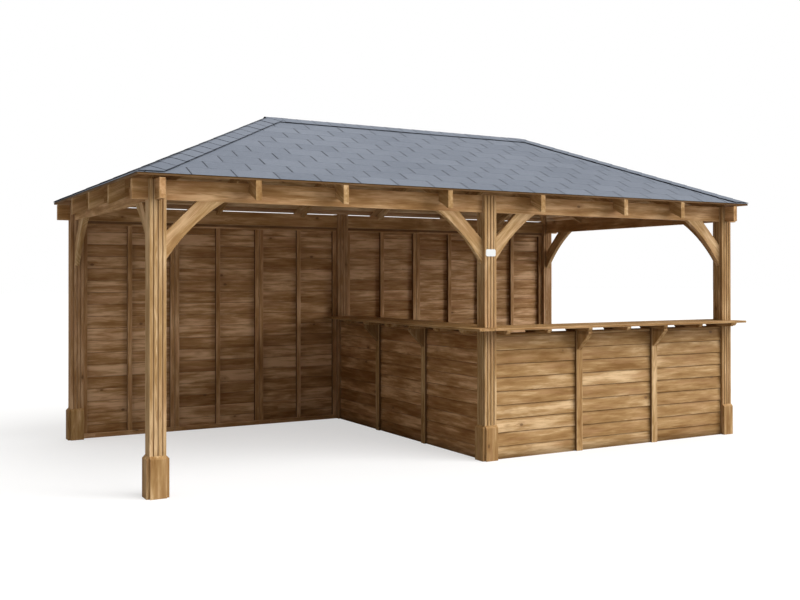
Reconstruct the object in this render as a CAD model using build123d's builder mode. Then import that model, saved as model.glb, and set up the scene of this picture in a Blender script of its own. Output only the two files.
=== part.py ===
import os
from math import cos, radians, sqrt, tan

from build123d import *

# Garden bar: a hipped timber shelter of two bays with a solid rear wall
# and an L shaped bar around the right bay. All sizes are in millimetres.
# X runs to the right along the front, Y to the rear, Z up from the ground.

# Driving dimensions
bay = 2850            # post centre to post centre along the front
depth = 2850          # post centre to post centre from front to rear
post = 120            # side of a square post
groove_w = 10.5       # width of a groove in a post face
groove_d = 7          # depth of a groove
beam_w = 45           # thickness of beams, rafters and braces
beam_h = 145          # height of a beam
beam_z = 2115         # underside of the beams
rear_dip = 7          # the rear beam is this much lower between the corner posts
reach = 174           # beams and rafter tails past the post centres
pitch = 24.5          # slope of all four roof faces in degrees
tail_top = 2272       # top corner of a rafter tail
plumb = 148           # height of a rafter along a plumb cut
deck_t = 18           # roof boards, measured square to the slope
shingle_t = 5         # one covering layer of shingles
shingle_over = 6      # shingles past the roof boards
cap_half = 135        # half width of a ridge or hip cap
cap_t = 4             # thickness of a cap
foot_t = 22           # boards around the foot of a post
foot_h = 300
brace_leg = 440       # long leg of a knee brace on the post
brace_foot = 205      # width of the brace board where it meets post and beam
brace_sag = 34        # hollow of the curved edge
setback = 22          # wall boards behind the post face
board_t = 18          # wall board thickness
stick_w = 45          # frame stick width
stick_t = 35          # frame stick depth
rail_h = 42           # top rail behind the boards
bar_h = 1080          # top of the bar walls
cover_w = 70          # cover batten over a panel joint
counter_t = 20
counter_past = 40     # counter past the right post
plank_w = 158         # inner and outer counter planks
bearer_h = 33         # bearers lift the counter off the bar wall
bearer_w = 45
bearer_in = 120       # inner end of a bearer from the post centres
bearer_drop = 12      # bearers hook down behind the bar wall
bearer_cut = 20       # slant across the ends of a bearer
bearer_back = 6       # outer end of a bearer behind the counter's edge
bracket_out = 148
bracket_h = 172
bracket_lip = 20      # upright outer end of a bracket
plate_w, plate_h, plate_t = 100, 60, 3
plate_round = 14
plate_z = 1770        # height of the plate's centre
ridge_drop = 20       # ridge board deeper than the rafters
gap = 3               # clearance between neighbouring pieces of one node
past = 50             # cutting shapes reach this far past what they cut

# Derived sizes
half_x = bay                     # corner post centres in X
half_y = depth / 2               # post centres in Y
hp = post / 2
hb = beam_w / 2
slope = tan(radians(pitch))
beam_top = beam_z + beam_h
run_x = half_x + reach
run_y = half_y + reach
ridge_x = run_x - run_y          # half length of the ridge
panel = (bay - post) / 3         # three wall panels fill one bay
panel_y = (depth - post) / 3
counter_z = bar_h + bearer_h
skin_y = half_y + hp - setback   # outer face of the rear and front boards
skin_x = hp - setback            # outer face of the side boards, left of the bar
counter_half = hp + gap / 2 + plank_w
brace_in = brace_leg - brace_foot
roof_low = beam_z - plumb                  # a level below every roof piece
roof_tall = 2 * plumb + run_y * slope + 2 * beam_h

os.makedirs("parts", exist_ok=True)


def save(builder, name):
    builder.part.label = name
    export_step(builder.part, f"parts/{name}.step")


def block(x0, x1, y0, y1, z0, z1, mode=Mode.ADD):
    """A box between two corners."""
    with Locations((x0, y0, z0)):
        return Box(x1 - x0, y1 - y0, z1 - z0, align=(Align.MIN,) * 3, mode=mode)


def under_roof(lift, over):
    """Everything below the four roof faces raised by lift, out to over past the tails."""
    wide, deep = run_x + over, run_y + over
    eave = tail_top + lift - over * slope
    with BuildPart(mode=Mode.PRIVATE) as solid:
        with BuildSketch(Plane.YZ.offset(-wide)):
            Polygon((-deep, roof_low), (deep, roof_low), (deep, eave), (0, eave + deep * slope),
                    (-deep, eave), align=None)
        extrude(amount=2 * wide)
        with BuildSketch(Plane.XZ.offset(-deep)):
            Polygon((-wide, roof_low), (wide, roof_low), (wide, eave), (0, eave + wide * slope),
                    (-wide, eave), align=None)
        extrude(amount=2 * deep, mode=Mode.INTERSECT)
    return solid.part


def roof_layer(low, high, over):
    """A layer that follows the roof faces between two heights above the rafters."""
    with BuildPart(mode=Mode.PRIVATE) as layer:
        add(under_roof(high, over))
        add(under_roof(low, over + past), mode=Mode.SUBTRACT)
    return layer.part


def plan_prism(points):
    """Stands a plan outline up through the whole roof."""
    with BuildPart(mode=Mode.PRIVATE) as prism:
        with BuildSketch(Plane.XY.offset(roof_low)):
            Polygon(*points, align=None)
        extrude(amount=roof_tall)
    return prism.part


deck_top = deck_t / cos(radians(pitch))
shingle_top = deck_top + shingle_t / cos(radians(pitch))
cap_top = shingle_top + cap_t / cos(radians(pitch))

# Posts: grooved on all four sides, slotted at the top for the beams
post_places = {
    "post_front_left": (-half_x, -half_y),
    "post_front_middle": (0, -half_y),
    "post_front_right": (half_x, -half_y),
    "post_rear_left": (-half_x, half_y),
    "post_rear_middle": (0, half_y),
    "post_rear_right": (half_x, half_y),
}
strip = (post - 3 * groove_w) / 4
for name, (px, py) in post_places.items():
    with BuildPart() as post_part:
        with BuildSketch(Plane.XY):
            with Locations((px, py)):
                Rectangle(post, post)
                for turn in range(4):
                    for k in (-1, 0, 1):
                        off = k * (strip + groove_w)
                        spot = Vector(hp - groove_d / 2, off).rotate(Axis.Z, 90 * turn)
                        with Locations((spot.X, spot.Y)):
                            Rectangle(groove_d, groove_w, rotation=90 * turn,
                                      mode=Mode.SUBTRACT)
        extrude(amount=beam_top)
        block(px - post, px + post, py - hb, py + hb, beam_z, beam_top, Mode.SUBTRACT)
        if px != 0:
            block(px - hb, px + hb, py - post, py + post, beam_z, beam_top, Mode.SUBTRACT)
    save(post_part, name)

# Foot boards on the free faces of each post, the top edge cut at 45 degrees
free_faces = {
    "post_front_left": ("front", "rear", "left", "right"),
    "post_front_middle": ("front", "left"),
    "post_front_right": ("front", "rear", "right"),
    "post_rear_left": ("front", "rear", "left"),
    "post_rear_middle": ("rear",),
    "post_rear_right": ("front", "rear", "right"),
}
outward = {"right": Vector(1, 0), "rear": Vector(0, 1), "left": Vector(-1, 0),
           "front": Vector(0, -1)}


def foot_board(px, py, side):
    """One board on that side of the post at px, py."""
    out = outward[side]
    place = Plane(origin=(px, py, 0), x_dir=out, z_dir=out.cross(Vector(0, 0, 1)))
    with BuildPart(mode=Mode.PRIVATE) as board:
        with BuildSketch(place):
            Polygon((hp, 0), (hp + foot_t, 0), (hp + foot_t, foot_h - foot_t), (hp, foot_h),
                    align=None)
        extrude(amount=hp, both=True)
    return board.part


with BuildPart() as foot_boards:
    for name, sides in free_faces.items():
        for side in sides:
            add(foot_board(*post_places[name], side))
save(foot_boards, "foot_boards")

# Beams, all at one level and halved into each other over the corner posts
with BuildPart() as beam_front:
    block(-run_x, run_x, -half_y - hb, -half_y + hb, beam_z, beam_top)
    for sx in (-1, 1):
        block(sx * half_x - hb, sx * half_x + hb, -half_y - hb, -half_y + hb,
              beam_z + beam_h / 2, beam_top, Mode.SUBTRACT)
save(beam_front, "beam_front")
with BuildPart() as beam_rear:
    block(-run_x, run_x, half_y - hb, half_y + hb, beam_z, beam_top)
    block(hp - half_x, half_x - hp, half_y - hb, half_y + hb, beam_top - rear_dip, beam_top,
          Mode.SUBTRACT)
    for sx in (-1, 1):
        block(sx * half_x - hb, sx * half_x + hb, half_y - hb, half_y + hb,
              beam_z + beam_h / 2, beam_top, Mode.SUBTRACT)
save(beam_rear, "beam_rear")
for name, sx in (("beam_left", -1), ("beam_right", 1)):
    with BuildPart() as side_beam:
        block(sx * half_x - hb, sx * half_x + hb, -run_y, run_y, beam_z, beam_top)
        for sy in (-1, 1):
            block(sx * half_x - hb, sx * half_x + hb, sy * half_y - hb, sy * half_y + hb,
                  beam_z, beam_z + beam_h / 2, Mode.SUBTRACT)
    save(side_beam, name)


def knee(corner, direction):
    """A brace from the corner of post and beam towards the given direction."""
    root = brace_leg / 2
    push = brace_sag / sqrt(2)
    place = Plane(origin=corner, x_dir=direction, z_dir=Vector(direction).cross(Vector(0, 0, 1)))
    with BuildPart(mode=Mode.PRIVATE) as brace:
        with BuildSketch(place):
            with BuildLine():
                Polyline((0, -brace_leg), (0, -brace_in), (brace_in, 0), (brace_leg, 0))
                ThreePointArc((0, -brace_leg), (root - push, -root + push), (brace_leg, 0))
            make_face()
        extrude(amount=hb, both=True)
    return brace.part


with BuildPart() as braces_front:
    add(knee((-half_x + hp, -half_y, beam_z), (1, 0, 0)))
    add(knee((-hp, -half_y, beam_z), (-1, 0, 0)))
    add(knee((hp, -half_y, beam_z), (1, 0, 0)))
    add(knee((half_x - hp, -half_y, beam_z), (-1, 0, 0)))
save(braces_front, "braces_front")
for name, sx in (("braces_left", -1), ("braces_right", 1)):
    with BuildPart() as side_braces:
        for sy in (-1, 1):
            add(knee((sx * half_x, sy * (half_y - hp), beam_z), (0, -sy, 0)))
    save(side_braces, name)

# Rafters. Each is a strip in plan, trimmed to a layer that follows the roof,
# then notched over the beams.
rafter_layer = roof_layer(-plumb, 0, 0)
common_x = [k * ridge_x / 3 for k in (-3, -1, 1, 3)]
jack_x = (half_x + ridge_x) / 2
jack_y = half_y / 2
hip_cut = hb * sqrt(2)


def notch_over_beams():
    for s, top in ((-1, beam_top), (1, beam_top - rear_dip)):
        block(-run_x - past, run_x + past, s * half_y - hb, s * half_y + hb,
              beam_z, top, Mode.SUBTRACT)
        block(s * half_x - hb, s * half_x + hb, -run_y - past, run_y + past,
              beam_z, beam_top, Mode.SUBTRACT)


with BuildPart() as common_rafters:
    for x in common_x:
        for s in (-1, 1):
            add(plan_prism([(x - hb, s * run_y), (x + hb, s * run_y), (x + hb, s * hb),
                            (x - hb, s * hb)]))
    add(rafter_layer, mode=Mode.INTERSECT)
    notch_over_beams()
save(common_rafters, "common_rafters")

with BuildPart() as end_rafters:
    for s in (-1, 1):
        add(plan_prism([(s * ridge_x, -hb), (s * run_x, -hb), (s * run_x, hb), (s * ridge_x, hb)]))
    add(rafter_layer, mode=Mode.INTERSECT)
    notch_over_beams()
save(end_rafters, "end_rafters")

with BuildPart() as jack_rafters:
    for sx in (-1, 1):
        for sy in (-1, 1):
            near, far = jack_x - hb, jack_x + hb
            add(plan_prism([(sx * near, sy * run_y), (sx * far, sy * run_y),
                            (sx * far, sy * (far - ridge_x + hip_cut)),
                            (sx * near, sy * (near - ridge_x + hip_cut))]))
            near, far = jack_y - hb, jack_y + hb
            add(plan_prism([(sx * run_x, sy * near), (sx * run_x, sy * far),
                            (sx * (far + ridge_x + hip_cut), sy * far),
                            (sx * (near + ridge_x + hip_cut), sy * near)]))
    add(rafter_layer, mode=Mode.INTERSECT)
    notch_over_beams()
save(jack_rafters, "jack_rafters")

with BuildPart() as hip_rafters:
    out_x, out_y = half_x + hb, half_y + hb
    for sx in (-1, 1):
        for sy in (-1, 1):
            outline = [(ridge_x + hb, hb), (ridge_x + hb + hip_cut, hb),
                       (out_x, out_x - ridge_x - hip_cut), (out_x, out_y),
                       (out_y + ridge_x - hip_cut, out_y), (ridge_x + hb, hb + hip_cut)]
            add(plan_prism([(sx * x, sy * y) for x, y in outline]))
    add(rafter_layer, mode=Mode.INTERSECT)
    for sx in (-1, 1):
        for sy in (-1, 1):
            with Locations((sx * half_x, sy * half_y, beam_top)):
                Box(post, post, post, align=(Align.CENTER, Align.CENTER, Align.MAX),
                    mode=Mode.SUBTRACT)
save(hip_rafters, "hip_rafters")

ridge_z = tail_top + run_y * slope
with BuildPart() as ridge_board:
    add(under_roof(0, 0))
    block(-ridge_x, ridge_x, -hb, hb, ridge_z - plumb - ridge_drop, ridge_z, Mode.INTERSECT)
save(ridge_board, "ridge_board")

# Roof boards and shingles, one sheet of each on every roof face
faces = {
    "front": lambda w, d: [(-w, -d), (w, -d), (ridge_x, 0), (-ridge_x, 0)],
    "rear": lambda w, d: [(-w, d), (w, d), (ridge_x, 0), (-ridge_x, 0)],
    "left": lambda w, d: [(-w, -d), (-ridge_x, 0), (-w, d)],
    "right": lambda w, d: [(w, -d), (ridge_x, 0), (w, d)],
}
for kind, low, high, over in (("roof_boards", 0, deck_top, 0),
                              ("shingles", deck_top, shingle_top, shingle_over)):
    layer = roof_layer(low, high, over)
    for side, outline in faces.items():
        with BuildPart() as sheet:
            add(plan_prism(outline(run_x + over, run_y + over)))
            add(layer, mode=Mode.INTERSECT)
        save(sheet, f"{kind}_{side}")

# Caps over the ridge and the four hips
cap_layer = roof_layer(shingle_top, cap_top, shingle_over)
cap_end = ridge_x + cap_half / 2
with BuildPart() as ridge_cap:
    add(plan_prism([(-cap_end, -cap_half), (cap_end, -cap_half), (cap_end, cap_half),
                    (-cap_end, cap_half)]))
    add(cap_layer, mode=Mode.INTERSECT)
save(ridge_cap, "ridge_cap")
with BuildPart() as hip_caps:
    side_cut = cap_half * sqrt(2)
    far_x, far_y = run_x + shingle_over, run_y + shingle_over
    for sx in (-1, 1):
        for sy in (-1, 1):
            outline = [(ridge_x + gap, gap), (ridge_x + gap + side_cut, gap),
                       (far_x, far_y - side_cut), (far_x, far_y),
                       (far_x - side_cut, far_y), (ridge_x + gap, gap + side_cut)]
            add(plan_prism([(sx * x, sy * y) for x, y in outline]))
    add(cap_layer, mode=Mode.INTERSECT)
    block(-cap_end - gap, cap_end + gap, -cap_half - gap, cap_half + gap, beam_top,
          roof_low + roof_tall, Mode.SUBTRACT)
save(hip_caps, "hip_caps")

# Rear wall: three boarded panels in each bay, framed inside
rear_top = beam_z
rear_starts = [b + hp + k * panel for b in (-bay, 0) for k in range(3)]
with BuildPart() as rear_boards:
    for x in rear_starts:
        block(x, x + panel - gap, skin_y - board_t, skin_y, 0, rear_top)
save(rear_boards, "rear_wall_boards")
inner_y = skin_y - board_t - stick_t
with BuildPart() as rear_rails:
    for x in rear_starts:
        block(x, x + panel - gap, inner_y, skin_y - board_t, rear_top - rail_h, rear_top)
        block(x, x + panel - gap, inner_y, skin_y - board_t, 0, stick_w)
save(rear_rails, "rear_wall_rails")
with BuildPart() as rear_sticks:
    for x in rear_starts:
        for x0 in (x, x + panel / 2 - stick_w / 2, x + panel - gap - stick_w):
            block(x0, x0 + stick_w, inner_y, skin_y - board_t, stick_w, rear_top - rail_h)
save(rear_sticks, "rear_wall_sticks")

# Front wall of the bar
front_starts = [hp + k * panel for k in range(3)]
with BuildPart() as bar_front_boards:
    for x in front_starts:
        block(x, x + panel - gap, -skin_y, -skin_y + board_t, 0, bar_h)
save(bar_front_boards, "bar_front_boards")
with BuildPart() as bar_front_frame:
    for x in front_starts:
        block(x, x + panel - gap, -skin_y + board_t, -inner_y, 0, bar_h)
        for x0 in (x + stick_w, x + (panel + stick_w) / 2):
            block(x0, x0 + (panel - 3 * stick_w) / 2 - gap / 2, -skin_y + board_t, -inner_y,
                  stick_w, bar_h - rail_h, Mode.SUBTRACT)
save(bar_front_frame, "bar_front_frame")

# Side wall of the bar, between the middle posts
side_starts = [-half_y + hp + k * panel_y for k in range(3)]
with BuildPart() as bar_side_boards:
    for y in side_starts:
        block(-skin_x, -skin_x + board_t, y, y + panel_y - gap, 0, bar_h)
save(bar_side_boards, "bar_side_boards")
side_inner = -skin_x + board_t + stick_t
with BuildPart() as bar_side_frame:
    for y in side_starts:
        block(-skin_x + board_t, side_inner, y, y + panel_y - gap, 0, bar_h)
        for y0 in (y + stick_w, y + (panel_y + stick_w) / 2):
            block(-skin_x + board_t, side_inner, y0,
                  y0 + (panel_y - 3 * stick_w) / 2 - gap / 2, stick_w, bar_h - rail_h,
                  Mode.SUBTRACT)
save(bar_side_frame, "bar_side_frame")

# Cover battens over the panel joints, flush with the posts
joints_x = [hp + k * panel for k in (1, 2)]
joints_y = [-half_y + hp + k * panel_y for k in (1, 2)]
half_cover = cover_w / 2
with BuildPart() as bar_covers:
    for x in joints_x:
        block(x - half_cover, x + half_cover, -skin_y - setback, -skin_y, 0, bar_h)
    for y in joints_y:
        block(-skin_x - setback, -skin_x, y - half_cover, y + half_cover, 0, bar_h)
save(bar_covers, "bar_cover_battens")
with BuildPart() as rear_covers:
    for b in (-bay, 0):
        for x in joints_x:
            block(b + x - half_cover, b + x + half_cover, skin_y, skin_y + setback, 0, rear_top)
save(rear_covers, "rear_cover_battens")

# Triangular brackets on the cover battens
with BuildPart() as brackets:
    outline = [(0, 0), (bracket_out, 0), (bracket_out, -bracket_lip), (0, -bracket_h)]
    for x in joints_x:
        with BuildSketch(Plane.YZ.offset(x - bearer_w / 2)):
            Polygon(*[(-skin_y - setback - u, bar_h + v) for u, v in outline], align=None)
        extrude(amount=bearer_w)
    for y in joints_y:
        with BuildSketch(Plane.XZ.offset(-y - bearer_w / 2)):
            Polygon(*[(-skin_x - setback - u, bar_h + v) for u, v in outline], align=None)
        extrude(amount=bearer_w)
save(brackets, "counter_brackets")

# Bearers lie across the bar wall, hook down behind it and carry the counter
reach_out = counter_half - bearer_back
wall_in = half_y - inner_y
outer_end = [(wall_in, bearer_h), (-reach_out, bearer_h),
             (-reach_out, bearer_cut), (-reach_out + bearer_cut, 0), (wall_in, 0)]
bearer_outline = outer_end[1:] + [
    (wall_in, -bearer_drop), (bearer_in - bearer_cut, -bearer_drop),
    (bearer_in, bearer_cut - bearer_drop), (bearer_in, bearer_h)]
ends_x = [hp + bearer_w / 2, bay - hp - bearer_w / 2]
ends_y = [-half_y + hp + bearer_w / 2, half_y - hp - bearer_w / 2]
middles_x = [hp + (k + 0.5) * panel for k in range(3)]
middles_y = [-half_y + hp + (k + 0.5) * panel_y for k in range(3)]


def front_bearer(x, outline):
    with BuildPart(mode=Mode.PRIVATE) as bearer:
        with BuildSketch(Plane.YZ.offset(x - bearer_w / 2)):
            Polygon(*[(-half_y + u, bar_h + v) for u, v in outline], align=None)
        extrude(amount=bearer_w)
    return bearer.part


def side_bearer(y):
    with BuildPart(mode=Mode.PRIVATE) as bearer:
        with BuildSketch(Plane.XZ.offset(-y - bearer_w / 2)):
            Polygon(*[(u, bar_h + v) for u, v in bearer_outline], align=None)
        extrude(amount=bearer_w)
    return bearer.part


with BuildPart() as bearers:
    add(front_bearer(ends_x[0], outer_end))
    for x in joints_x + middles_x + ends_x[1:]:
        add(front_bearer(x, bearer_outline))
    for y in joints_y + middles_y + ends_y[:1]:
        add(side_bearer(y))
save(bearers, "counter_bearers")

# A batten on the right post carries the overhanging end of the counter
batten_x = half_x + hp + counter_past - bearer_back
with BuildPart() as end_batten:
    with BuildSketch(Plane.XZ.offset(half_y + hp)):
        Polygon((half_x - hp, bar_h), (batten_x - bearer_cut, bar_h),
                (batten_x, bar_h + bearer_cut), (batten_x, counter_z), (half_x - hp, counter_z),
                align=None)
    extrude(amount=bearer_w)
save(end_batten, "counter_end_batten")

# Counter of three planks on each wall; the outer and inner ones pass the posts
side_end = inner_y
front_end = half_x + hp + counter_past
near, mid = hp + gap / 2, hp - gap / 2
with BuildPart() as counter_side:
    block(-counter_half, -near, -half_y - counter_half, side_end, counter_z,
          counter_z + counter_t)
    block(-mid, mid, -half_y + hp, half_y - hp, counter_z, counter_z + counter_t)
    block(near, counter_half, -half_y + near, side_end, counter_z, counter_z + counter_t)
save(counter_side, "counter_side")
with BuildPart() as counter_front:
    block(-hp + gap / 2, front_end, -half_y - counter_half, -half_y - near, counter_z,
          counter_z + counter_t)
    block(hp, half_x - hp, -half_y - mid, -half_y + mid, counter_z, counter_z + counter_t)
    block(counter_half + gap, front_end, -half_y + near, -half_y + counter_half, counter_z,
          counter_z + counter_t)
save(counter_front, "counter_front")

# Blank name plate on the middle post
with BuildPart() as name_plate:
    with BuildSketch(Plane.XZ.offset(half_y + hp)):
        with Locations((0, plate_z)):
            RectangleRounded(plate_w, plate_h, plate_round)
    extrude(amount=plate_t)
save(name_plate, "blank_plate")
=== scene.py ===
from math import atan, ceil, cos, pi, radians, sin, sqrt, tan

import bpy
from bpy.props import FloatProperty, FloatVectorProperty, PointerProperty
from mathutils import Matrix, Vector


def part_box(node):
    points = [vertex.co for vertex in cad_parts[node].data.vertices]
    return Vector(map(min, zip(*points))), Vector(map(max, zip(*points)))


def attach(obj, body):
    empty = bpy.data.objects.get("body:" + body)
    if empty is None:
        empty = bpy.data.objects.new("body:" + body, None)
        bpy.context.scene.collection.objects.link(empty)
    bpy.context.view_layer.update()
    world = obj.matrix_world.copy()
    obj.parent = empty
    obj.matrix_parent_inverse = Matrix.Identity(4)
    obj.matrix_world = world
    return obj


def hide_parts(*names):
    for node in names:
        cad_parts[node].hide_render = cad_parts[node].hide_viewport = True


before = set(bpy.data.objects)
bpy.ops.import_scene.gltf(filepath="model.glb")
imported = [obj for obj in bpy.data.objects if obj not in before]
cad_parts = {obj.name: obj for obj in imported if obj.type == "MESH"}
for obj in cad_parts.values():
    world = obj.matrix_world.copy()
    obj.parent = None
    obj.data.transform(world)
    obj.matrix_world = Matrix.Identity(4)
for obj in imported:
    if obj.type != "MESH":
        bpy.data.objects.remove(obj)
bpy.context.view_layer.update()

bl_info = {
    "name": "Garden Bar Shelter",
    "version": (1, 0, 0),
    "blender": (4, 5, 0),
    "location": "3D View > Sidebar > Garden Bar",
    "description": "Boards, shingles, caps and finishes for a hipped garden bar",
    "category": "Object",
}

# Sizes from the frame, in metres
EAVE_LOW, EAVE_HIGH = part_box("roof_boards_front")
RUN_X, RUN_Y, TAIL_TOP = EAVE_HIGH.x, -EAVE_LOW.y, EAVE_LOW.z
RIDGE_X = RUN_X - RUN_Y
SHINGLE_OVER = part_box("shingles_front")[1].x - RUN_X
POST_LOW, POST_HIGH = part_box("post_front_right")
POST = round(POST_HIGH.x - POST_LOW.x, 4)
BAY = round((POST_LOW.x + POST_HIGH.x) / 2, 4)
HALF_DEPTH = round(-(POST_LOW.y + POST_HIGH.y) / 2, 4)
PANEL = (BAY - POST) / 3
SKIN_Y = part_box("rear_wall_boards")[1].y
SKIN_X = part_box("bar_side_boards")[0].x

# The slope of the roof, and other sizes in metres
PITCH = radians(24.5)
DECK = 0.018
BOARD_DEPTH = 0.018
STICK = 0.045
BEAM_Z = 2.19
FAR = 100.0

# What the wood's colours are multiplied by. The inner and side tints are painted shade: the warmer
# colour that wood shows in the shade under the roof
PLAIN = (1, 1, 1)
INNER_SHADE_TINT = (1.06, 0.975, 1.0)
BEAM_TINT = (1.03, 0.96, 0.92)
SIDE_SHADE_TINT = (1.0, 0.88, 0.84)


# Nodes

def pick(sockets, key):
    """The enabled socket with that place or name."""
    if isinstance(key, int):
        return sockets[key]
    return next(s for s in sockets if s.enabled and key in (s.name, s.identifier))


def add_node(tree, kind, settings=None, inputs=None, out=0):
    """Adds one node: its settings first, then the values or links of its sockets. Gives the
    output with that place or name, or nothing if out is None."""
    node = tree.nodes.new(kind)
    for key, value in (settings or {}).items():
        if key == "stops":
            ramp = node.color_ramp
            for place, _ in value[2:]:
                ramp.elements.new(place)
            for element, (place, colour) in zip(ramp.elements, sorted(value)):
                element.position = place
                element.color = (*colour, 1)
        else:
            setattr(node, key, value)
    for key, value in (inputs or {}).items():
        for one in value if isinstance(value, list) else [value]:
            if isinstance(one, Flow):
                tree.links.new(one.socket, pick(node.inputs, key))
            else:
                pick(node.inputs, key).default_value = one
    if isinstance(out, int):
        out = [s for s in node.outputs if s.enabled][out].identifier if node.outputs else None
    return Flow(tree, pick(node.outputs, out)) if out is not None else None


def maths(operation, reflected=False):
    """A method that adds one Math node, with its values turned round if reflected."""
    def method(flow, *others):
        values = (*others, flow) if reflected else (flow, *others)
        return add_node(flow.tree, "ShaderNodeMath", {"operation": operation},
                        dict(enumerate(values)))
    return method


class Flow:
    """A socket of a node tree. Arithmetic on it adds Math nodes."""
    __add__, __radd__ = maths("ADD"), maths("ADD", True)
    __sub__, __rsub__ = maths("SUBTRACT"), maths("SUBTRACT", True)
    __mul__, __rmul__ = maths("MULTIPLY"), maths("MULTIPLY", True)
    __truediv__, __rtruediv__ = maths("DIVIDE"), maths("DIVIDE", True)
    __pow__, __rpow__ = maths("POWER"), maths("POWER", True)
    __gt__, __lt__ = maths("GREATER_THAN"), maths("LESS_THAN")
    __abs__, floor, nearest = maths("ABSOLUTE"), maths("FLOOR"), maths("ROUND")
    sine, cosine, modulo = maths("SINE"), maths("COSINE"), maths("MODULO")
    at_most, at_least = maths("MINIMUM"), maths("MAXIMUM")

    def __init__(self, tree, socket):
        self.tree = tree
        self.socket = socket

    def fade(self, start, end):
        """0 before start, 1 past end, smooth in between."""
        return add_node(self.tree, "ShaderNodeMapRange", {"interpolation_type": "SMOOTHSTEP"},
                        {"Value": self, "From Min": start, "From Max": end})

    def out(self, name):
        """Another output of the same node."""
        return Flow(self.tree, pick(self.socket.node.outputs, name))

    def xyz(self):
        x = add_node(self.tree, "ShaderNodeSeparateXYZ", {}, {"Vector": self}, "X")
        return x, x.out("Y"), x.out("Z")

    def plus(self, other):
        """A vector plus another."""
        return add_node(self.tree, "ShaderNodeVectorMath", {"operation": "ADD"},
                        {0: self, 1: other})


def vector(tree, x, y, z):
    return add_node(tree, "ShaderNodeCombineXYZ", {}, {"X": x, "Y": y, "Z": z})


def blend(factor, first, second):
    """Two colours mixed by a factor."""
    first, second = (one if isinstance(one, Flow) else (*one, 1) for one in (first, second))
    return add_node(factor.tree, "ShaderNodeMix", {"data_type": "RGBA"},
                    {"Factor": factor, "A": first, "B": second})


def noise(place, scale=1, detail=2, rough=0.5):
    return add_node(place.tree, "ShaderNodeTexNoise", {},
                    {"Vector": place, "Scale": scale, "Detail": detail, "Roughness": rough},
                    "Fac")


# Geometry trees

SOCKETS = {float: "NodeSocketFloat", int: "NodeSocketInt", "shape": "NodeSocketGeometry",
           "finish": "NodeSocketMaterial"}


def new_geometry_tree(name, inputs):
    """A geometry tree with the named inputs; gives the tree and its inputs as flows."""
    tree = bpy.data.node_groups.new(name, "GeometryNodeTree")
    for title, kind in inputs.items():
        tree.interface.new_socket(name=title, in_out="INPUT", socket_type=SOCKETS[kind])
    tree.interface.new_socket(name="Shape", in_out="OUTPUT", socket_type=SOCKETS["shape"])
    group = tree.nodes.new("NodeGroupInput")
    return tree, {title: Flow(tree, group.outputs[title]) for title in inputs}


def realized(shape):
    """The shape with its instances made real."""
    return add_node(shape.tree, "GeometryNodeRealizeInstances", {}, {"Geometry": shape})


def finished(shape, finish):
    """The shape with a material on it."""
    return add_node(shape.tree, "GeometryNodeSetMaterial", {},
                    {"Geometry": shape, "Material": finish})


def end_tree(shape, finish):
    """Makes instances real, sets the material and hands the shape out."""
    add_node(shape.tree, "NodeGroupOutput", {}, {"Shape": finished(realized(shape), finish)},
             None)


def moved(shape, x, y, z):
    return add_node(shape.tree, "GeometryNodeSetPosition", {},
                    {"Geometry": shape, "Position": vector(shape.tree, x, y, z)})


def kept(shape, name, value, domain="POINT"):
    """The shape with a named attribute stored on it."""
    kind = "FLOAT_VECTOR" if value.socket.type == "VECTOR" else "FLOAT"
    return add_node(shape.tree, "GeometryNodeStoreNamedAttribute",
                    {"data_type": kind, "domain": domain},
                    {"Geometry": shape, "Name": name, "Value": value})


def named(tree, name):
    """A named attribute that is a place."""
    return add_node(tree, "GeometryNodeInputNamedAttribute", {"data_type": "FLOAT_VECTOR"},
                    {"Name": name}, "Attribute")


def here(tree):
    return add_node(tree, "GeometryNodeInputPosition")


def index(tree):
    return add_node(tree, "GeometryNodeInputIndex")


def chance(tree, low, high, seed):
    """A random number or vector for each point or instance."""
    kind = "FLOAT" if isinstance(low, (int, float)) else "FLOAT_VECTOR"
    return add_node(tree, "FunctionNodeRandomValue", {"data_type": kind},
                    {"Min": low, "Max": high, "Seed": seed})


def rows_of_points(tree, columns, rows):
    """Loose points in columns and rows; gives them with their column and row."""
    points = add_node(tree, "GeometryNodeMeshLine", {}, {"Count": columns * rows})
    nudge = 0.0001
    row = (index(tree) / columns + nudge).floor()
    column = (index(tree) - row * columns).nearest()
    return points, column, row


def scattered(points, shape, seed, turn=0.0):
    """The shape made real on each point, with its own tone and its own place in the
    pattern."""
    tree = shape.tree
    far, near = 40.0, 0.03
    spin = chance(tree, (-turn,) * 3, (turn,) * 3, seed)
    put = add_node(tree, "GeometryNodeInstanceOnPoints", {},
                   {"Points": points, "Instance": shape, "Rotation": spin})
    put = kept(put, "tone", chance(tree, 0.0, 1.0, seed + 1), "INSTANCE")
    shift = chance(tree, (-far, -near, -near), (far, near, near), seed + 2)
    return realized(kept(put, "shift", shift, "INSTANCE"))


def shifted_grain(shape):
    """Adds each piece's own shift to its pattern coordinates."""
    tree = shape.tree
    return kept(shape, "grain", named(tree, "grain").plus(named(tree, "shift")))


def bar(tree, length, corners, rounding):
    """A long piece along X. Its four corners in Y and Z go round in turn, and are slightly
    rounded."""
    section = add_node(tree, "GeometryNodeCurvePrimitiveQuadrilateral", {"mode": "POINTS"},
                       {f"Point {k + 1}": vector(tree, 0 - y, 0 - z, 0)
                        for k, (y, z) in enumerate(corners)})
    section = add_node(tree, "GeometryNodeFilletCurve", {"mode": "POLY"},
                       {"Curve": section, "Radius": rounding, "Count": 2})
    path = add_node(tree, "GeometryNodeCurvePrimitiveLine", {},
                    {"Start": vector(tree, length * -0.5, 0, 0),
                     "End": vector(tree, length * 0.5, 0, 0)})
    shape = add_node(tree, "GeometryNodeCurveToMesh", {},
                     {"Curve": path, "Profile Curve": section, "Fill Caps": True})
    return kept(shape, "grain", here(tree))


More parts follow.
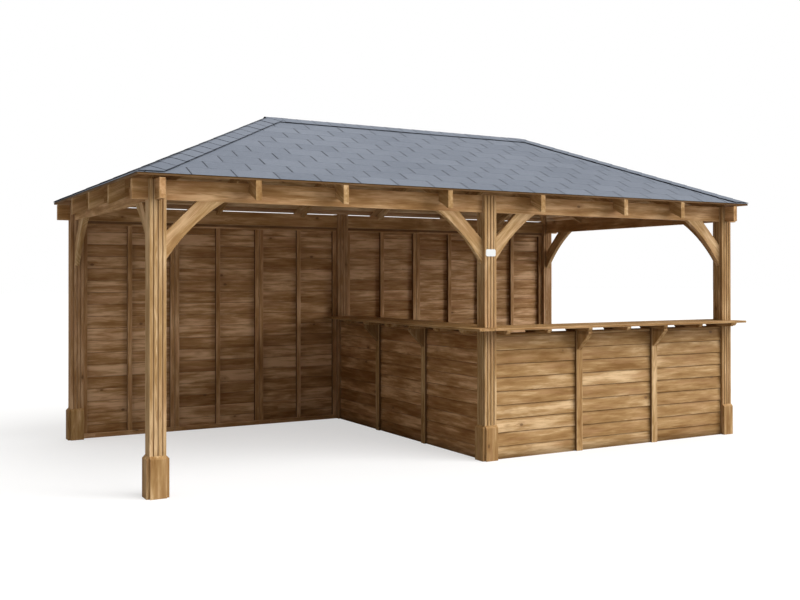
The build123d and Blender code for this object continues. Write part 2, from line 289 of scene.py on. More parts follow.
def on_roof_face(shape, half_width, run, over, slope_angle):
    """Keeps a shape on one roof face: plumb at the eave and ridge, mitred at the hips."""
    tree = shape.tree
    u, v, w = here(tree).xyz()
    level, rise = slope_angle.cosine(), slope_angle.sine()
    low = (w * rise - over) / level
    high = (w * rise + run) / level
    v = v.at_least(low).at_most(high)
    reach = half_width - (v * level - w * rise)
    u = u.at_most(reach).at_least(reach * -1)
    return moved(shape, u, v, w)


def wall_board_tree():
    """Lapped boards in panels: X along the wall, Y outwards, Z up."""
    tree, want = new_geometry_tree("lapped_boards", {
        "Panels": int, "Panel Pitch": float, "Board Length": float, "Courses": int,
        "Course": float, "Start": float, "Top": float, "Lap": float, "Butt": float,
        "Feather": float, "Depth": float, "Seed": int, "Finish": "finish"})
    rounding, crooked = 0.0015, 0.0008
    butt, feather, depth = want["Butt"], want["Feather"], want["Depth"]
    height = want["Course"] + want["Lap"]
    corners = [(0, 0), (feather - depth, height), (depth * -1, height), (butt * -1, 0)]
    board = bar(tree, want["Board Length"], corners, rounding)
    _, y, z = here(tree).xyz()
    middle = (butt + (depth * 2 - feather - butt) * z / height) / 2
    board = kept(kept(board, "rise", z), "front", y + middle)
    points, column, row = rows_of_points(tree, want["Panels"], want["Courses"])
    points = moved(points, (column + 0.5) * want["Panel Pitch"], 0,
                   row * want["Course"] + want["Start"])
    boards = scattered(points, board, want["Seed"], crooked)
    x, y, z = here(tree).xyz()
    boards = moved(boards, x, y.at_most(0), z.at_least(0).at_most(want["Top"]))
    end_tree(shifted_grain(boards), want["Finish"])
    return tree


def roof_board_tree():
    """Boards laid up one roof face: X along the eave, Y up the slope, Z out of it."""
    tree, want = new_geometry_tree("roof_boards", {
        "Half Width": float, "Run": float, "Pitch": float, "Rows": int, "Board": float,
        "Joint": float, "Depth": float, "Seed": int, "Finish": "finish"})
    width = want["Board"] - want["Joint"]
    corners = [(0, 0), (width, 0), (width, want["Depth"]), (0, want["Depth"])]
    rounding = 0.003
    board = bar(tree, want["Half Width"] * 2, corners, rounding)
    points, _, row = rows_of_points(tree, 1, want["Rows"])
    points = moved(points, 0, row * want["Board"], 0)
    boards = scattered(points, board, want["Seed"])
    boards = on_roof_face(boards, want["Half Width"], want["Run"], 0.0, want["Pitch"])
    end_tree(shifted_grain(boards), want["Finish"])
    return tree


def lapped_sheet(piece, length, exposure, sheet, lap, lift):
    """Moves a flat sheet on its lower edge and tips it, so that it clears the one it laps."""
    tree = piece.tree
    x, y, z = here(tree).xyz()
    up = y + length / 2
    tipped = z + sheet * (1.5 + lap) - sheet * up / exposure + lift
    return kept(moved(piece, x, up, tipped), "grain", here(tree))


def shingle_tree():
    """Tabs in half-bond on one roof face, over a thin sheet that shows in their slots."""
    tree, want = new_geometry_tree("shingle_tabs", {
        "Half Width": float, "Run": float, "Over": float, "Pitch": float, "Tabs": int,
        "Courses": int, "Tab": float, "Exposure": float, "Slot": float, "Sheet": float,
        "Lift": float, "Seed": int, "Finish": "finish", "Slot Finish": "finish"})
    half, run, over, slope_angle = (want[k] for k in ("Half Width", "Run", "Over", "Pitch"))
    tab, exposure, sheet = want["Tab"], want["Exposure"], want["Sheet"]
    lap, under_sheet, spare = 0.15, 0.0004, 1.0
    slot_from, slot_to, uneven, crooked, merge = 0.039, 0.041, 0.0012, 0.0012, 0.00005
    base = want["Lift"] + under_sheet
    length = exposure * (1 + lap)
    piece = add_node(tree, "GeometryNodeMeshCube", {},
                     {"Size": vector(tree, tab - want["Slot"], length, sheet)}, "Mesh")
    piece = lapped_sheet(piece, length, exposure, sheet, lap, base)
    points, column, row = rows_of_points(tree, want["Tabs"], want["Courses"])
    odd = row.modulo(2)
    u = (column - (want["Tabs"] - odd) / 2) * tab + chance(tree, slot_from, slot_to, 3)
    v = row * exposure - over + chance(tree, -uneven, uneven, 4)
    points = moved(points, u, v, 0)
    x, y, _ = here(tree).xyz()
    far = abs(x) > half - y * slope_angle.cosine() + tab / 2
    points = add_node(tree, "GeometryNodeDeleteGeometry", {"domain": "POINT"},
                      {"Geometry": points, "Selection": far})
    tabs = scattered(points, piece, want["Seed"], crooked)
    tabs = shifted_grain(on_roof_face(tabs, half, run, over, slope_angle))
    tabs = add_node(tree, "GeometryNodeMergeByDistance", {},
                    {"Geometry": tabs, "Distance": merge})
    under = add_node(tree, "GeometryNodeMeshCube", {},
                     {"Size": vector(tree, half * 2 + spare, run * 3, under_sheet)}, "Mesh")
    x, y, z = here(tree).xyz()
    under = moved(under, x, y, z + want["Lift"] + under_sheet / 2)
    under = on_roof_face(under, half, run, over, slope_angle)
    both = add_node(tree, "GeometryNodeJoinGeometry", {},
                    {"Geometry": [finished(tabs, want["Finish"]),
                                  finished(under, want["Slot Finish"])]})
    add_node(tree, "NodeGroupOutput", {}, {"Shape": realized(both)}, None)
    return tree


def cap_tree():
    """Bent caps that lap up a hip or along a ridge: X across, Y along, Z out."""
    tree, want = new_geometry_tree("lapped_caps", {
        "Count": int, "Exposure": float, "Half Width": float, "Fall": float, "Sheet": float,
        "Corner": float, "Lean": float, "Run": float, "Top Cut": float, "Seed": int,
        "Finish": "finish"})
    exposure, sheet, half = want["Exposure"], want["Sheet"], want["Half Width"]
    lap, fold, uneven, crooked = 0.35, 0.014, 0.002, 0.003
    length = exposure * (1 + lap)
    cap = add_node(tree, "GeometryNodeMeshCube", {},
                   {"Size": vector(tree, half * 2, length, sheet), "Vertices X": 15}, "Mesh")
    x = here(tree).xyz()[0]
    bend = want["Fall"] * (fold - (x * x + fold * fold) ** 0.5)
    cap = kept(lapped_sheet(cap, length, exposure, sheet, lap, bend), "across", x)
    points, _, row = rows_of_points(tree, 1, want["Count"])
    points = moved(points, chance(tree, -uneven, uneven, 5), row * exposure, 0)
    caps = scattered(points, cap, want["Seed"], crooked)
    x, y, z = here(tree).xyz()
    eave = abs(x) * want["Corner"] + z * want["Lean"]
    y = y.at_least(eave).at_most(want["Run"] + x * want["Top Cut"])
    end_tree(shifted_grain(moved(caps, x, y, z)), want["Finish"])
    return tree


def placed(name, data):
    """A new object in the scene."""
    piece = bpy.data.objects.new(name, data)
    bpy.context.scene.collection.objects.link(piece)
    return piece


def grow(name, tree, values, place):
    """Runs a geometry tree on an empty object and keeps the result as a plain mesh."""
    piece = placed(name, bpy.data.meshes.new(name))
    maker = piece.modifiers.new(name, "NODES")
    maker.node_group = tree
    ids = {item.name: item.identifier for item in tree.interface.items_tree
           if item.in_out == "INPUT"}
    for title, value in values.items():
        maker[ids[title]] = value
    grown = piece.evaluated_get(bpy.context.evaluated_depsgraph_get())
    mesh = bpy.data.meshes.new_from_object(grown)
    piece.modifiers.clear()
    mesh.transform(place)
    mesh.name = name
    piece.data = mesh
    return piece


def dress(piece, slot, *nodes):
    """Puts a finished piece on the frame in place of some nodes."""
    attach(piece, "root")
    if nodes:
        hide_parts(*nodes)


# Finishes

def new_material(name):
    material = bpy.data.materials.new(name)
    material.use_nodes = True
    material.node_tree.nodes.clear()
    return material, material.node_tree


def end_material(tree, shader):
    add_node(tree, "ShaderNodeOutputMaterial", {}, {"Surface": shader}, None)


def object_place(tree):
    return add_node(tree, "ShaderNodeTexCoord", {}, {}, "Object")


def cell_noise(tree, *values):
    """A number from 0 to 1 for each set of whole numbers."""
    spot = vector(tree, *(list(values) + [0.5] * (3 - len(values))))
    return add_node(tree, "ShaderNodeTexWhiteNoise", {}, {"Vector": spot}, "Value")


def wood_shader(tree, grain, tone, shade=None, soft=None, force=1.0, tint=PLAIN):
    """Stained softwood. grain is a place in metres with the grain along X, tone a number for
    the piece, shade a mask of painted shade, soft a mask of edges painted pale as wear and
    as a painted highlight, force how strongly it is marked, and tint what its colours are
    multiplied by."""
    look = bpy.context.scene.garden_timber
    pale, middle, dim, rosy = ([a * b for a, b in zip(colour, tint)] for colour in
                               (look.pale, look.middle, look.deep, look.rosy))
    along, across, deep = grain.xyz()

    # Each pattern is drawn out along the grain: its factors are repeats in a metre
    wander = noise(vector(tree, along * 1.1, across * 3, deep * 3), 1, 2)
    wander_too = noise(vector(tree, along * 1.4 + 7.0, across * 3, deep * 3), 1, 2)
    knots = add_node(tree, "ShaderNodeTexVoronoi", {},
                     {"Vector": vector(tree, along * 5.2, across * 8.4, deep * 8.4),
                      "Scale": 1.0}, "Distance")
    some_knots = knots.out("Color").xyz()[0] > 1 - look.knots
    near = (1 - knots.fade(0.0, 0.42)) * some_knots
    core = (1 - knots.fade(0.07, 0.13)) * some_knots

    bent = across + (wander - 0.5) * 0.09 + near * 0.02
    bent_too = deep + (wander_too - 0.5) * 0.09 + 0.02
    heart = (bent * bent + bent_too * bent_too) ** 0.5
    rings = (heart * (2 * pi / look.ring)).sine() * 0.5 + 0.5
    line = across + (wander - 0.5) * 0.018 + near * 0.012
    streaks = noise(vector(tree, along * 3.3, line * 40, deep * 40), 1, 4, 0.62)
    clouds = noise(vector(tree, along * 2.2, line * 14, deep * 14), 1, 4, 0.6)
    fibre = noise(vector(tree, along * 11, line * 430, deep * 430), 1, 2, 0.6)
    dark = ((streaks - 0.5) * (look.streaks * force) + (clouds - 0.5) * (look.clouds * force)
            + (rings - 0.5) * look.rings + (fibre - 0.5) * look.fibre
            + (tone - 0.5) * look.spread + 0.5).at_least(0).at_most(1)

    colour = add_node(tree, "ShaderNodeValToRGB",
                      {"stops": [(0.0, pale), (1.0, dim), (0.45, middle)]},
                      {"Fac": dark}, "Color")
    warm = noise(vector(tree, along * 2.2 + 3.0, across * 12, deep * 12), 1, 2)
    colour = blend((warm - 0.5).at_least(0) * 1.6, colour, rosy)
    colour = blend(near * 0.45, colour, dim)
    colour = blend(core * 0.7, colour, look.knot)
    # Edges painted pale, as wear and as a painted highlight
    if soft is not None:
        colour = blend(soft * 0.5, colour, pale)
    # Painted shade in the shadow colour, where the mask says
    if shade is not None:
        colour = blend(shade, colour, look.shadow)

    height = fibre * 0.5 + rings * 0.35 + streaks * 0.4 - core * 0.6
    bump = add_node(tree, "ShaderNodeBump", {},
                    {"Strength": 0.45, "Distance": 0.0012, "Height": height})
    rough = 0.66 + (fibre - 0.5) * 0.3 - core * 0.15
    return add_node(tree, "ShaderNodeBsdfPrincipled", {},
                    {"Base Color": colour, "Roughness": rough, "Specular IOR Level": 0.15,
                     "Normal": bump})


def facing(tree):
    """The way a face looks, as three numbers."""
    return add_node(tree, "ShaderNodeTexCoord", {}, {}, "Normal").xyz()


def edge_wear_and_highlight(tree):
    """A mask of rounded edges on pieces whose faces are square to the axes, painted pale as wear
    and as a painted highlight.
    """
    x, y, z = facing(tree)
    slant = 1 - abs(x).at_least(abs(y)).at_least(abs(z))
    return slant.fade(0.02, 0.07) * (1 - slant.fade(0.2, 0.27))


def attribute(tree, name, out="Fac"):
    return add_node(tree, "ShaderNodeAttribute", {"attribute_name": name}, {}, out)


def board_timber(name, laps=False, lean=0.0, force=1.0, spread=1.0, tint=PLAIN):
    """Wood for boards that carry their own grain coordinates and tone, with a painted shadow
    where they lap or, on the roof, painted shade where they are cut along the eaves. lean
    darkens them all, and spread is how far their tones differ."""
    material, tree = new_material(name)
    grain = attribute(tree, "grain", "Vector")
    if laps:
        ragged, reach, crease, inner_crease = 0.006, 0.009, 0.003, 0.002
        walls = bpy.context.scene.garden_walls
        rise, front = attribute(tree, "rise"), attribute(tree, "front") > 0
        along = grain.xyz()[0]
        uneven = noise(vector(tree, along * 5, attribute(tree, "tone") * 40, 0), 1, 3)
        rise = rise + (uneven - 0.5) * ragged
        outside = rise.fade(walls.course - reach, walls.course - crease)
        inside = 1 - rise.fade(walls.lap + inner_crease, walls.lap + reach)
        # Painted shadow: a dark line under each thick edge outside, and above each lap inside
        shade = front * outside * (uneven + 0.1) * 0.9 + (1 - front) * inside * uneven * 0.8
    else:
        # Painted shade along the cut eave edges of the roof boards
        cut_end, inside_cut = -0.001, -0.006
        x, y, _ = object_place(tree).xyz()
        shade = (abs(x) - RUN_X).at_least(abs(y) - RUN_Y).fade(inside_cut, cut_end) * 0.75
    tone = (attribute(tree, "tone") - 0.5) * spread + 0.5 + lean
    end_material(tree, wood_shader(tree, grain, tone, shade, None, force, tint))
    return material


def post_timber(name, tint):
    """Upright wood, with painted shade in the grooves and, more lightly, over the rear posts."""
    material, tree = new_material(name)
    x, y, z = object_place(tree).xyz()
    number, rear = (x / BAY).nearest(), y > 0
    local_x, local_y = x - number * BAY, y - (rear * 2 - 1) * HALF_DEPTH
    grain = vector(tree, z + number * 9.3 + rear * 17.7, local_x + 0.012, local_y + 0.021)
    tone = cell_noise(tree, number, rear) * 0.3 + abs(number + 0.5) * 0.25 - 0.085
    groove = 1 - abs(local_x).at_least(abs(local_y)).fade(POST * 0.45, POST / 2 - 0.0008)
    # Painted shade in the grooves, and over the rear posts under the roof
    shade = (groove * 0.45).at_least(rear * 0.25)
    end_material(tree, wood_shader(tree, grain, tone, shade, edge_wear_and_highlight(tree), 0.9, tint))
    return material


def straight_timber(name, axis, spacing, centre, lean=0.0, worn_and_highlit=True, painted_shade=None,
                    tint=PLAIN):
    """Wood whose grain follows one axis. spacing is how far apart its pieces lie in X, Y and
    Z, and centre where one of them is, so that each gets its own tone. lean darkens them
    all, the edge flag pales their edges as wear and painted highlight, and the mask after
    it gives painted shade."""
    material, tree = new_material(name)
    place = object_place(tree).xyz()
    local, cell = [], []
    for value, gap, middle in zip(place, spacing, centre):
        count = ((value - middle) / gap).nearest()
        cell.append(count)
        local.append(value - middle - count * gap)
    tone = cell_noise(tree, *cell)
    shift = tone * 31.0
    order = [axis] + [k for k in range(3) if k != axis]
    grain = vector(tree, place[axis] + shift, local[order[1]] + 0.013, local[order[2]] + 0.008)
    end_material(tree, wood_shader(tree, grain, tone * 0.6 + 0.2 + lean,
                                   painted_shade(tree) if painted_shade else None,
                                   edge_wear_and_highlight(tree) if worn_and_highlit else None, 1.0, tint))
    return material


def batten_side_shade(tree):
    """A mask of painted shade on the narrow sides of the bar's battens, where they meet the boards.
    """
    y = object_place(tree).xyz()[1]
    face_x, face_y, _ = facing(tree)
    front = y < -HALF_DEPTH - POST / 4
    return (abs(face_x) * front).at_least(abs(face_y) * (1 - front)).fade(0.4, 0.9) * 0.8


def stick_side_shade(tree):
    """A mask of painted shade on the sides of the upright sticks inside the rear wall."""
    return abs(facing(tree)[0]).fade(0.4, 0.9) * 0.8


def bracket_shade(tree):
    """A mask of painted shade on the brackets' upper ends under the counter, and over the brackets
    on the side wall.
    """
    clear, dark = 1.045, 1.062
    _, y, z = object_place(tree).xyz()
    return z.fade(clear, dark).at_least(y > -HALF_DEPTH + POST) * 0.45


def beam_shadow_on_rail(tree):
    """A mask of painted shadow: the dark line where the top rail meets the beam."""
    clear, dark = 2.082, 2.094
    return object_place(tree).xyz()[2].fade(clear, dark) * 0.75


def rafter_timber():
    """Wood that runs down the roof slopes, on rafters square to either eave or on a hip."""
    material, tree = new_material("rafter_timber")
    half_rafter, half_hip, under_ridge = 0.03, 0.05, 2.7
    x, y, z = object_place(tree).xyz()
    out_x, out_y = abs(x), abs(y)
    on_hip = abs(out_x - out_y - RIDGE_X) < half_hip
    end_run = (abs(out_y - HALF_DEPTH / 2) < half_rafter).at_least(out_y < half_rafter)
    end_run = end_run * (out_x > RIDGE_X + half_rafter) * (1 - on_hip)
    run = out_y + end_run * (out_x - out_y) + on_hip * ((out_x + out_y) * sqrt(0.5) - out_y)
    side = out_x + end_run * (out_y - out_x) + on_hip * ((out_x - out_y) * sqrt(0.5) - out_x)
    along = run * cos(PITCH) - z * sin(PITCH)
    deep = run * sin(PITCH) + z * cos(PITCH) - under_ridge
    piece = cell_noise(tree, (x * 3.1).floor(), (y > 0) * 3.0, end_run + on_hip * 2)
    grain = vector(tree, along + piece * 20.0, deep, side - (side * 4.0).floor() / 4)
    end_material(tree, wood_shader(tree, grain, piece * 0.5 + 0.25))
    return material


def brace_timber(name, side_brace):
    """Wood that runs up each brace at 45 degrees."""
    material, tree = new_material(name)
    x, y, z = object_place(tree).xyz()
    if side_brace:
        out, flat, number = HALF_DEPTH - abs(y), abs(x) - BAY, (x > 0) * 2 + (y > 0)
    else:
        post = (x / BAY).nearest()
        out, flat, number = abs(x - post * BAY), y + HALF_DEPTH, post * 2 + (x > post * BAY)
    tone = cell_noise(tree, number, 3.0)
    grain = vector(tree, (out + z) * sqrt(0.5) + tone * 23.0,
                   (out - z) * sqrt(0.5) + 1.44, flat + 0.02)
    end_material(tree, wood_shader(tree, grain, tone * 0.4 - 0.1))
    return material


def end_surface(tree, colour, rough, settings=None):
    """Ends a material that has a colour and a roughness."""
    end_material(tree, add_node(tree, "ShaderNodeBsdfPrincipled", {},
                                {"Base Color": colour, "Roughness": rough, **(settings or {})}))


def shingle_finish(name, edge, folded=False):
    """Slate blue granules, each sheet a little different, with cut edges in the edge colour
    given, which on the tabs is painted light, and, on a folded cap, darker along the fold
    and with painted shade at the rim."""
    by_sheet, by_fine, by_mottle, by_broad = 0.16, 0.8, 0.3, 0.35
    fold_darkest, fold_clear, rim_clear, rim_dark = 0.004, 0.022, 0.006, 0.004
    roof = bpy.context.scene.garden_roof
    material, tree = new_material(name)
    place = object_place(tree)
    fine = noise(place, 900, 2, 0.7)
    mottle = noise(place, 26, 3, 0.6)
    broad = noise(place, 1.1, 2)
    mix = ((attribute(tree, "tone") - 0.5) * by_sheet + (fine - 0.5) * by_fine
           + (mottle - 0.5) * by_mottle + (broad - 0.5) * by_broad
           + 0.5).at_least(0).at_most(1)
    colour = blend(mix, roof.dark_granule, roof.pale_granule)
    edge_faces = 1 - facing(tree)[2].fade(0.55, 0.75)
    if folded:
        eave = TAIL_TOP + 0.034
        edge_faces = edge_faces * (place.xyz()[2].fade(eave, eave + 0.004) * 0.75 + 0.25)
    # The cut edges take the edge colour; on the tabs it is paler than the granules, as painted
    # light
    colour = blend(edge_faces, colour, edge)
    if folded:
        across = abs(attribute(tree, "across"))
        # Darker along the fold; the darker rim is painted shade along the cap's edges
        fold = (1 - across.fade(fold_darkest, fold_clear)) * 0.6
        rim = across.fade(roof.cap_half - rim_clear, roof.cap_half - rim_dark) * 0.3
        colour = blend(fold.at_least(rim), colour, roof.bitumen)
    bump = add_node(tree, "ShaderNodeBump", {},
                    {"Strength": 0.5, "Distance": 0.001, "Height": fine + mottle * 0.4})
    end_surface(tree, colour, 0.86 + (fine - 0.5) * 0.2,
                {"Specular IOR Level": 0.12, "Normal": bump})
    return material


def bitumen_finish():
    """The dark sheet that shows between the tabs."""
    roof = bpy.context.scene.garden_roof
    material, tree = new_material("shingle_bitumen")
    grit = noise(object_place(tree), 300, 2, 0.6)
    colour = blend(grit * 0.2, roof.bitumen, roof.dark_granule)
    end_surface(tree, colour, 0.9 - grit * 0.1)
    return material


def plate_finish():
    """A plain satin white plate."""
    material, tree = new_material("plate_white")
    haze = noise(object_place(tree), 60, 2)
    colour = blend(haze, (0.74, 0.76, 0.76), (0.82, 0.83, 0.82))
    end_surface(tree, colour, 0.34 + haze * 0.1)
    return material


# Settings

def colour(name, description, default):
    return FloatVectorProperty(name=name, description=description, default=default,
                               subtype="COLOR", min=0, max=1)


def length(name, description, default, least=0.0):
    return FloatProperty(name=name, description=description, default=default, min=least,
                         unit="LENGTH")


def angle(name, description, degrees):
    return FloatProperty(name=name, description=description, default=radians(degrees),
                         unit="ROTATION")


def amount(name, description, default):
    return FloatProperty(name=name, description=description, default=default, min=0,
                         subtype="FACTOR")


class GardenBarTimber(bpy.types.PropertyGroup):
    """Colours and grain of the stained softwood."""
    pale: colour("Pale Wood", "Lightest part of the grain", (0.70, 0.485, 0.27))
    middle: colour("Middle Wood", "Usual colour of the stain", (0.40, 0.236, 0.094))
    deep: colour("Deep Wood", "Darkest part of the grain", (0.23, 0.110, 0.030))
    rosy: colour("Rosy Wood", "Redder patches", (0.50, 0.285, 0.15))
    knot: colour("Knots", "Colour of a knot", (0.12, 0.056, 0.02))
    # This colour is painted shade: it goes in the grooves, the lap lines, the creases and on the
    # sides of battens and sticks
    shadow: colour("Painted Shade", "Stain that gathers in grooves", (0.10, 0.045, 0.014))
    knots: amount("Share of Knots", "How many knots are kept", 0.35)
    ring: length("Ring Spacing", "Distance between growth rings", 0.007, 0.001)
    streaks: amount("Streaks", "How much fine streaks darken the wood", 1.2)
    clouds: amount("Clouds", "How much long patches darken the wood", 1.75)
    rings: amount("Rings", "How much growth rings darken the wood", 0.2)
    fibre: amount("Fibre", "How much single fibres darken the wood", 0.3)
    spread: amount("Spread", "How much the pieces differ from each other", 0.42)


class GardenBarWalls(bpy.types.PropertyGroup):
    """Sizes of the lapped wall boards."""
    course: length("Course", "Exposed height of one board", 0.118, 0.02)
    start: length("Start", "Lower edge of the first board, cut at the ground", -0.009, -0.1)
    lap: length("Lap", "How far a board runs behind the next", 0.007)
    butt: length("Thick Edge", "Thickness of a board's lower edge", 0.011, 0.004)
    feather: length("Thin Edge", "Thickness of a board's upper edge", 0.006, 0.002)
    joint: length("Panel Joint", "Gap between two panels", 0.003)


class GardenBarRoof(bpy.types.PropertyGroup):
    """Sizes and colours of the roof covering."""
    tab: length("Tab Width", "Width of one shingle tab", 0.3355, 0.1)
    exposure: length("Exposure", "Height of a course that shows", 0.162, 0.05)
    slot: length("Slot", "Gap between two tabs", 0.011, 0.001)
    sheet: length("Sheet", "Thickness of a shingle", 0.0014, 0.001)
    cap_exposure: length("Cap Exposure", "Length of a cap that shows", 0.155, 0.05)
    cap_half: length("Cap Half Width", "Width of a cap's wing", 0.135, 0.05)
    cap_sheet: length("Cap Sheet", "Thickness of a hip cap", 0.0027, 0.001)
    roof_board: length("Roof Board", "Width of one roof board", 0.0976, 0.05)
    board_joint: length("Board Joint", "Gap between two roof boards", 0.0012)
    dark_granule: colour("Dark Granules", "Darkest granules", (0.111, 0.128, 0.161))
    pale_granule: colour("Pale Granules", "Lightest granules", (0.247, 0.271, 0.318))
    # Painted light: the tabs' cut edges are paler than their granules, to lift the shade on them
    painted_lit_edge: colour("Cut Edge", "Lower edges of the tabs", (0.33, 0.36, 0.41))
    bitumen: colour("Bitumen", "Slots, and cut edges of the caps", (0.020, 0.023, 0.032))


class GardenBarStage(bpy.types.PropertyGroup):
    """Camera, lamps and floor."""
    camera: FloatVectorProperty(name="Camera", description="Where the camera stands",
                                default=(-4.7162, -8.2694, 1.5583), unit="LENGTH")
    yaw: angle("Yaw", "Turn of the camera from Y towards X", 29.4409)
    tilt: angle("Tilt", "How far the camera looks up", 0.2882)
    roll: angle("Roll", "Turn of the camera about its own axis", -0.0427)
    lens: FloatProperty(name="Lens", description="Focal length in millimetres on a 36 mm film",
                        default=43.462, min=10)
    shift: FloatProperty(name="Shift", description="How far the picture is moved up, in widths",
                         default=-0.0339)
    key: amount("High Light", "Strength of the high front light", 2.0)
    key_height: angle("High Light Height", "Its height above the floor", 50)
    key_turn: angle("High Light Turn", "Its turn from the front to the right", 25)
    key_soft: angle("High Light Softness", "How broad it is", 45)
    fill: amount("Low Light", "Strength of the low front light", 1.45)
    fill_height: angle("Low Light Height", "Its height above the floor", 15)
    fill_turn: angle("Low Light Turn", "Its turn from the front to the right", 52)
    fill_soft: angle("Low Light Softness", "How broad it is", 28)
    sky: amount("Sky", "Strength of the light from overhead", 0.80)
    horizon: amount("Horizon", "Strength of the light from the sides", 0.18)
    floor: colour("Floor", "Colour of the floor", (0.45, 0.45, 0.45))
    floor_glow: amount("Floor Glow", "White that the camera sees added", 0.55)
    floor_half: length("Floor Half Width", "Half the width of the floor", 90)


# Makers

class GARDENBAR_OT_wall_boards(bpy.types.Operator):
    """Lays the lapped boards of the rear wall and of the bar"""
    bl_idname = "garden_bar.wall_boards"
    bl_label = "Wall Boards"

    def execute(self, context):
        walls = context.scene.garden_walls
        tree = wall_board_tree()
        bar_finish = board_timber("wall_board_timber", laps=True)
        # Painted shade and light: the side boards are a darker copy and the rear boards a lighter
        # copy of the same wood, both warmer, for the shade under the roof
        side_finish = board_timber("side_board_timber", laps=True, lean=0.12, force=1.2,
                                   spread=1.3, tint=SIDE_SHADE_TINT)
        rear_finish = board_timber("rear_board_timber", laps=True, lean=-0.22, force=1.2,
                                   spread=1.3, tint=INNER_SHADE_TINT)
        half = POST / 2
        jobs = [
            ("rear_wall_lapped_left", "rear_wall", ["rear_wall_boards"], rear_finish,
             (half - BAY, SKIN_Y), 0, 11),
            ("rear_wall_lapped_right", "rear_wall", [], rear_finish, (half, SKIN_Y), 0, 23),
            ("bar_front_lapped", "bar_wall", ["bar_front_boards"], bar_finish,
             (BAY - half, -SKIN_Y), pi, 38),
            ("bar_side_lapped", "bar_wall", ["bar_side_boards"], side_finish,
             (SKIN_X, half - HALF_DEPTH), pi / 2, 41),
        ]
        for name, slot, nodes, finish, (x, y), turn, seed in jobs:
            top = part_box("rear_wall_boards" if slot == "rear_wall" else "bar_front_boards")[1].z
            place = Matrix.Translation((x, y, 0)) @ Matrix.Rotation(turn, 4, "Z")
            piece = grow(name, tree, {
                "Panels": 3, "Panel Pitch": PANEL, "Board Length": PANEL - walls.joint,
                "Courses": ceil((top - walls.start) / walls.course - 0.02),
                "Course": walls.course, "Start": walls.start, "Top": top, "Lap": walls.lap,
                "Butt": walls.butt, "Feather": walls.feather, "Depth": BOARD_DEPTH,
                "Seed": seed, "Finish": finish}, place)
            dress(piece, slot, *nodes)
        return {"FINISHED"}


def roof_face_places():
    """Name, half width and place of each roof face, on the rafters."""
    tilt = Matrix.Rotation(PITCH, 4, "X")
    for name, half, turn, out in (("front", RUN_X, 0, RUN_Y), ("right", RUN_Y, pi / 2, RUN_X),
                                  ("rear", RUN_X, pi, RUN_Y), ("left", RUN_Y, -pi / 2, RUN_X)):
        place = Matrix.Rotation(turn, 4, "Z") @ Matrix.Translation((0, -out, TAIL_TOP)) @ tilt
        yield name, half, place


class GARDENBAR_OT_roof_boards(bpy.types.Operator):
    """Lays the boards that close each roof face on the rafters"""
    bl_idname = "garden_bar.roof_boards"
    bl_label = "Roof Boards"

    def execute(self, context):
        roof = context.scene.garden_roof
        tree = roof_board_tree()
        finish = board_timber("roof_board_timber")
        rows = ceil(RUN_Y / cos(PITCH) / roof.roof_board)
        for seed, (name, half, place) in enumerate(roof_face_places()):
            piece = grow(f"roof_boarding_{name}", tree, {
                "Half Width": half, "Run": RUN_Y, "Pitch": PITCH, "Rows": rows,
                "Board": roof.roof_board, "Joint": roof.board_joint, "Depth": DECK,
                "Seed": 50 + seed * 7, "Finish": finish}, place)
            dress(piece, "roof_boards", f"roof_boards_{name}")
        return {"FINISHED"}


class GARDENBAR_OT_shingles(bpy.types.Operator):
    """Lays the shingle tabs on each roof face"""
    bl_idname = "garden_bar.shingles"
    bl_label = "Shingles"

    def execute(self, context):
        roof = context.scene.garden_roof
        tree = shingle_tree()
        finish = shingle_finish("shingle_granules", roof.painted_lit_edge)
        slots = bitumen_finish()
        courses = ceil((RUN_Y + SHINGLE_OVER) / cos(PITCH) / roof.exposure)
        for seed, (name, half, place) in enumerate(roof_face_places()):
            piece = grow(f"shingle_tabs_{name}", tree, {
                "Half Width": half, "Run": RUN_Y, "Over": SHINGLE_OVER, "Pitch": PITCH,
                "Tabs": ceil(2 * half / roof.tab) + 2, "Courses": courses, "Tab": roof.tab,
                "Exposure": roof.exposure, "Slot": roof.slot, "Sheet": roof.sheet,
                "Lift": DECK, "Seed": 80 + seed * 7, "Finish": finish, "Slot Finish": slots}, place)
            dress(piece, "shingles", f"shingles_{name}")
        return {"FINISHED"}


